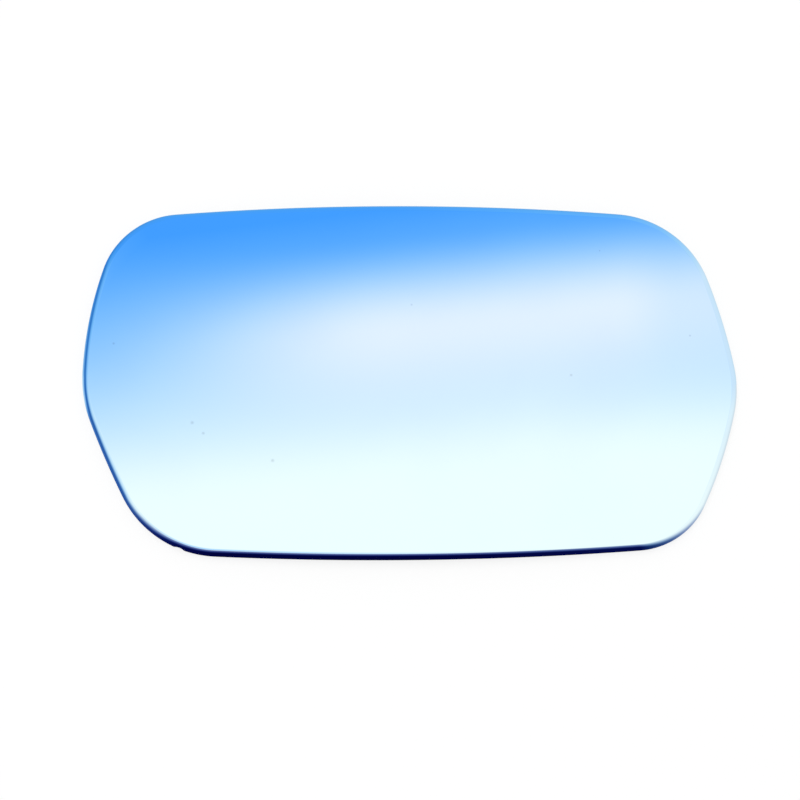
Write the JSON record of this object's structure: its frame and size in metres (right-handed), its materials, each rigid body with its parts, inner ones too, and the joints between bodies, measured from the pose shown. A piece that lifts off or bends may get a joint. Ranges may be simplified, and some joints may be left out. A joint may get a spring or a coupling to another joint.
{
  "type": "car door mirror glass",
  "caption": "Bare convex glass of a car's door mirror: a bent, silvered sheet with bowed sides, rounded corners and a ground edge, bonded into a holder.",
  "frame": {"origin": "middle of the outline, on the surface that the rim lies on", "axes": "+Z out of the reflecting face, +X to the right and +Y up for someone who looks into the mirror"},
  "size_m": [0.1908, 0.1064, 0.0062],
  "materials": {
    "mirror_glass": "polished"
  },
  "bodies": {
    "root": {"mirror_glass": "mirror_glass"}
  },
  "joints": []
}
